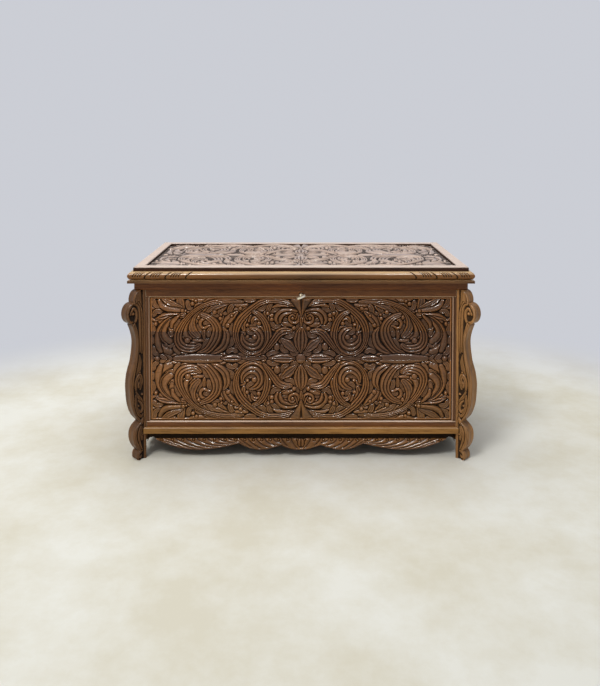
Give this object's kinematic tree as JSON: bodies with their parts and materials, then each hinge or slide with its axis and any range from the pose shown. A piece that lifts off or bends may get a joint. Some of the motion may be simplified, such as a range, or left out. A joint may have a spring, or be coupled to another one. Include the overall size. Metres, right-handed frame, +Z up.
{
  "type": "jewelry box",
  "caption": "Carved walnut jewelry box: a framed, panelled case on diagonal scroll legs with a hinged moulded lid, a lock and key, a velvet lining and a sliding tray.",
  "frame": {"origin": "on the table, under the middle of the box", "axes": "+Z up; the front, with the keyhole, faces -Y; +X runs along the front to the viewer's right"},
  "size_m": [0.4994, 0.2594, 0.271],
  "materials": {
    "walnut": "satin varnish, golden on worn edges and dark in the carved grooves",
    "walnut_plain": "thin satin varnish on plain boards",
    "velvet": "short wine red pile",
    "brass": "satin, slightly dulled",
    "key_metal": "polished pale brass"
  },
  "bodies": {
    "case": {"front_top_rail": "walnut", "front_bottom_rail": "walnut", "front_left_stile": "walnut", "front_right_stile": "walnut", "front_board_1": "walnut", "front_board_2": "walnut", "front_board_3": "walnut", "front_board_4": "walnut", "left_side_frame": "walnut", "left_side_boards": "walnut", "right_side_frame": "walnut", "right_side_boards": "walnut", "back_frame": "walnut_plain", "back_boards": "walnut_plain", "rim_front": "walnut", "rim_back": "walnut", "rim_left": "walnut", "rim_right": "walnut", "base_strip_front": "walnut", "base_strip_back": "walnut", "base_strip_left": "walnut", "base_strip_right": "walnut", "front_apron": "walnut", "back_apron": "walnut", "left_apron": "walnut", "right_apron": "walnut", "leg_front_left": "walnut", "leg_front_right": "walnut", "leg_back_left": "walnut", "leg_back_right": "walnut", "bottom_board": "walnut_plain", "bottom_battens": "walnut_plain", "floor_pad": "velvet", "wall_linings": "velvet", "tray_runners": "walnut_plain", "lock_case": "brass", "lock_screws": "brass", "hinge_left_case_leaf": "brass", "hinge_right_case_leaf": "brass", "hinge_pins": "brass", "hinge_case_screws": "brass"},
    "lid": {"lid_moulding_front": "walnut", "lid_moulding_back": "walnut", "lid_moulding_left": "walnut", "lid_moulding_right": "walnut", "lid_border": "walnut", "lid_boards": "walnut", "lid_lining": "velvet", "hinge_left_lid_leaf": "brass", "hinge_right_lid_leaf": "brass", "hinge_lid_screws": "brass", "link_plate": "brass", "link_plate_screws": "brass"},
    "tray": {"tray_walls": "walnut", "tray_dividers": "walnut", "tray_bottom": "velvet", "ring_rolls": "velvet"},
    "key": {"key": "key_metal"},
    "bolt": {"lock_bolt": "brass"}
  },
  "joints": [
    {"name": "lid_hinge", "type": "hinge", "parent": "case", "child": "lid", "pos_m": [0, 0.113, 0.2492], "axis": [-1, 0, 0], "range_deg": [0, 97]},
    {"name": "key_turn", "type": "hinge", "parent": "case", "child": "key", "pos_m": [0, -0.1, 0.232], "axis": [0, -1, 0], "range_deg": [0, 67]},
    {"name": "bolt_slide", "type": "slide", "parent": "case", "child": "bolt", "axis": [1, 0, 0], "range_m": [0, 0.0045]},
    {"name": "tray_slide", "type": "slide", "parent": "case", "child": "tray", "axis": [1, 0, 0], "range_m": [0, 0.218]}
  ],
  "couplings": [
    {"joint": "key_turn", "follows": "bolt_slide", "rad_per_m": 259.8}
  ]
}
